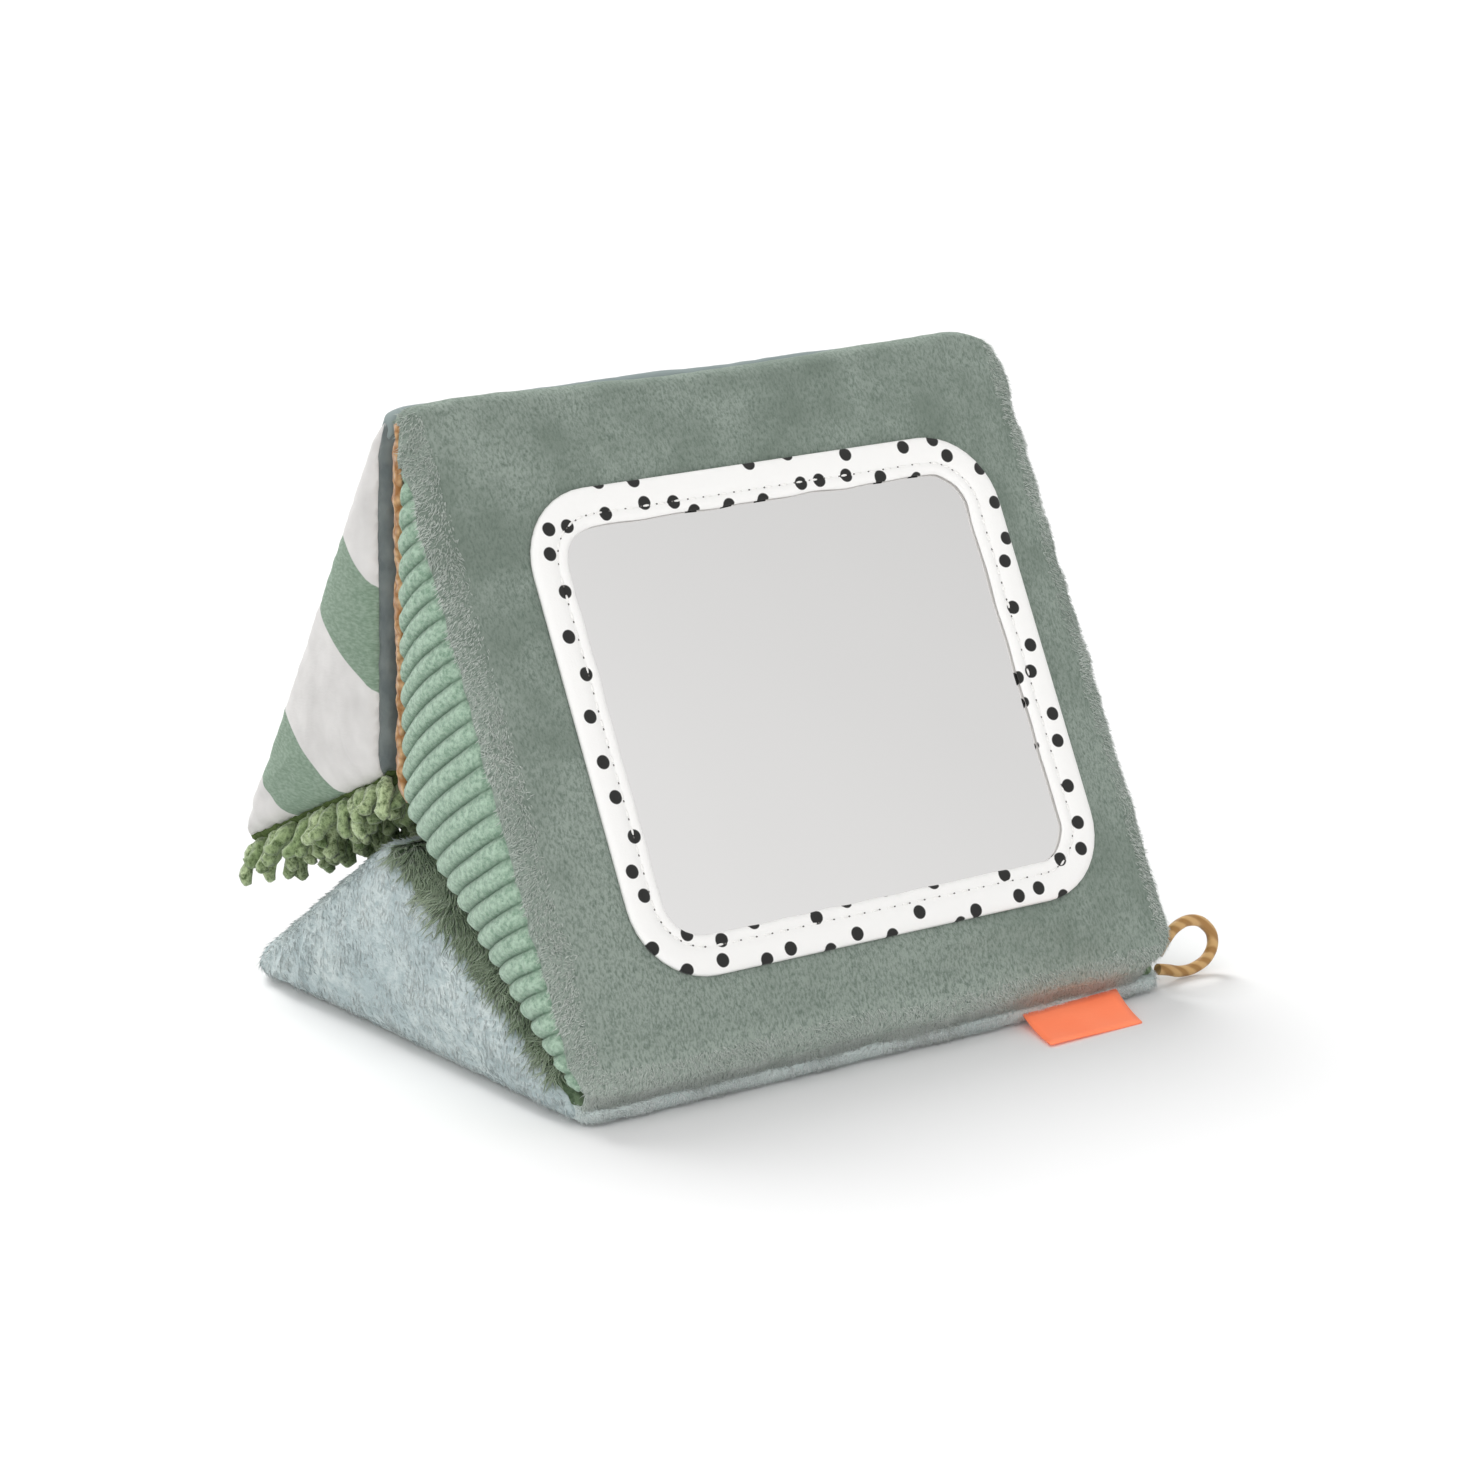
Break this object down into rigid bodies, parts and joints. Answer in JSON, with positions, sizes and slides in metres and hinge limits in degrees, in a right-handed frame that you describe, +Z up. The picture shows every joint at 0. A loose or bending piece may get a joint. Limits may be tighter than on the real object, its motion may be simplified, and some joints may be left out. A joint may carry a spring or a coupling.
{
  "type": "tummy time book",
  "caption": "Soft fold-out baby activity book: stuffed wedge cushions hinged edge to edge, closing into a small tent with a mirror on its front face and varied textures inside.",
  "frame": {"origin": "on the floor, under the middle of the base cushion's flat underside", "axes": "+X along the ridge towards the cord loop, -Y towards the mirror face, +Z up"},
  "size_m": [0.2263, 0.2019, 0.1783],
  "materials": {
    "teal_cotton": "smooth matte weave",
    "blue_plush": "long soft pile",
    "green_fur": "long shaggy pile",
    "fill": "loose polyester fibre",
    "tan_cord": "waxed round cord",
    "sage_plush": "short velvety pile",
    "mint_rib": "wide-rib plush",
    "orange_boucle": "looped pile",
    "dotted_cotton": "plain cotton with scattered black dots",
    "mirror_film": "silvered flexible sheet",
    "backing_board": "stiff felt board",
    "slate_cotton": "smooth matte weave",
    "grey_satin": "satin sheen",
    "green_noodles": "chenille strands",
    "striped_cotton": "fine weave with broad diagonal green stripes",
    "crinkle_film": "thin clear film",
    "orange_ribbon": "satin ribbon, bare"
  },
  "bodies": {
    "base_cushion": {"base_underside_panel": "teal_cotton", "base_back_inner_panel": "blue_plush", "base_front_inner_panel": "green_fur", "base_end_left": "blue_plush", "base_end_right": "blue_plush", "base_filling": "fill", "base_hinge_seam": "sage_plush", "cord_loop": "tan_cord", "side_tag": "orange_ribbon"},
    "front_cushion": {"front_face_panel": "sage_plush", "front_lower_inner_panel": "mint_rib", "front_upper_inner_panel": "orange_boucle", "front_end_left": "mint_rib", "front_end_right": "mint_rib", "front_filling": "fill", "mirror_frame": "dotted_cotton", "mirror_sheet": "mirror_film", "mirror_backing": "backing_board", "ridge_hinge_seam": "sage_plush"},
    "back_cushion": {"back_face_panel": "slate_cotton", "back_front_inner_panel": "grey_satin", "noodle_panel": "green_noodles", "back_end_left": "striped_cotton", "back_end_right": "striped_cotton", "back_filling": "fill", "crinkle_film": "crinkle_film"}
  },
  "joints": [
    {"name": "base_hinge", "type": "hinge", "parent": "base_cushion", "child": "front_cushion", "pos_m": [0, -0.09057, 0.00692], "axis": [1, 0, 0], "range_deg": [0, 116], "deforming": ["side_tag"]},
    {"name": "ridge_hinge", "type": "hinge", "parent": "front_cushion", "child": "back_cushion", "pos_m": [0, -0.00679, 0.1768], "axis": [1, 0, 0], "range_deg": [0, 119]}
  ]
}
